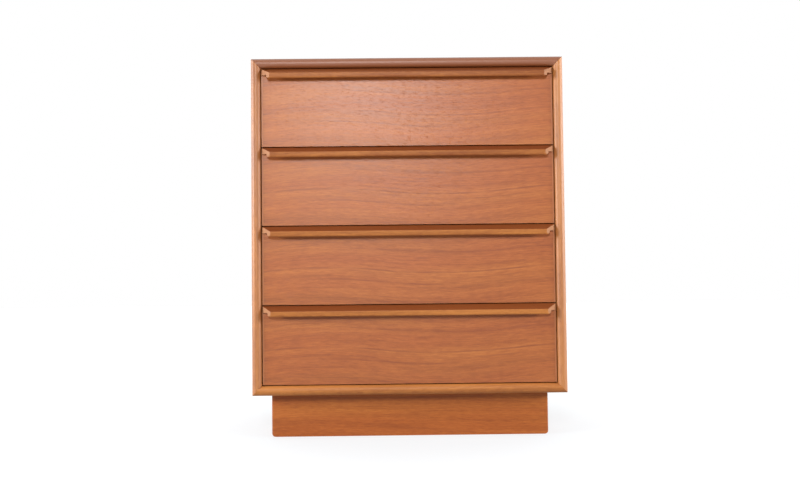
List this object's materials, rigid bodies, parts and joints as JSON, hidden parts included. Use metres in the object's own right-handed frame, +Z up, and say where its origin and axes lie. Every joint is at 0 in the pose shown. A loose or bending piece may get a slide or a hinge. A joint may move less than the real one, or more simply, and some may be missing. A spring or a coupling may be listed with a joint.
{
  "type": "chest of drawers",
  "caption": "Tall teak-veneered chest with full-width lip pulls, mitred half-round front mouldings and a recessed plinth; the drawers slide on side runners.",
  "frame": {"origin": "on the floor under the middle of the whole chest, the pulls included", "axes": "+Z up, -Y towards the drawer fronts, +X to the right as seen from the front"},
  "size_m": [0.8, 0.463, 0.97],
  "materials": {
    "teak_veneer": "satin lacquered teak veneer",
    "solid_teak": "satin lacquered solid teak",
    "beech": "smooth waxed beech",
    "plywood": "sanded thin plywood",
    "screw_steel": "dull zinc-plated steel"
  },
  "bodies": {
    "carcass": {"top_panel": "teak_veneer", "bottom_panel": "teak_veneer", "left_side_panel": "teak_veneer", "right_side_panel": "teak_veneer", "back_panel": "plywood", "corner_splines": "plywood", "top_moulding": "solid_teak", "bottom_moulding": "solid_teak", "left_moulding": "solid_teak", "right_moulding": "solid_teak", "back_panel_screws": "screw_steel", "runner_screws": "screw_steel", "plinth_front": "teak_veneer", "plinth_back": "teak_veneer", "plinth_left": "teak_veneer", "plinth_right": "teak_veneer", "plinth_blocks": "beech", "plinth_screws": "screw_steel", "left_runner_1": "beech", "left_runner_2": "beech", "left_runner_3": "beech", "left_runner_4": "beech", "right_runner_1": "beech", "right_runner_2": "beech", "right_runner_3": "beech", "right_runner_4": "beech"},
    "drawer_1": {"drawer_1_front": "teak_veneer", "drawer_1_pull": "solid_teak", "drawer_1_left_side": "beech", "drawer_1_right_side": "beech", "drawer_1_back": "beech", "drawer_1_bottom": "plywood", "drawer_1_bottom_screws": "screw_steel"},
    "drawer_2": {"drawer_2_front": "teak_veneer", "drawer_2_pull": "solid_teak", "drawer_2_left_side": "beech", "drawer_2_right_side": "beech", "drawer_2_back": "beech", "drawer_2_bottom": "plywood", "drawer_2_bottom_screws": "screw_steel"},
    "drawer_3": {"drawer_3_front": "teak_veneer", "drawer_3_pull": "solid_teak", "drawer_3_left_side": "beech", "drawer_3_right_side": "beech", "drawer_3_back": "beech", "drawer_3_bottom": "plywood", "drawer_3_bottom_screws": "screw_steel"},
    "drawer_4": {"drawer_4_front": "teak_veneer", "drawer_4_pull": "solid_teak", "drawer_4_left_side": "beech", "drawer_4_right_side": "beech", "drawer_4_back": "beech", "drawer_4_bottom": "plywood", "drawer_4_bottom_screws": "screw_steel"}
  },
  "joints": [
    {"name": "drawer_1_slide", "type": "slide", "parent": "carcass", "child": "drawer_1", "axis": [0, -1, 0], "range_m": [0, 0.3]},
    {"name": "drawer_2_slide", "type": "slide", "parent": "carcass", "child": "drawer_2", "axis": [0, -1, 0], "range_m": [0, 0.3]},
    {"name": "drawer_3_slide", "type": "slide", "parent": "carcass", "child": "drawer_3", "axis": [0, -1, 0], "range_m": [0, 0.3]},
    {"name": "drawer_4_slide", "type": "slide", "parent": "carcass", "child": "drawer_4", "axis": [0, -1, 0], "range_m": [0, 0.3]}
  ]
}
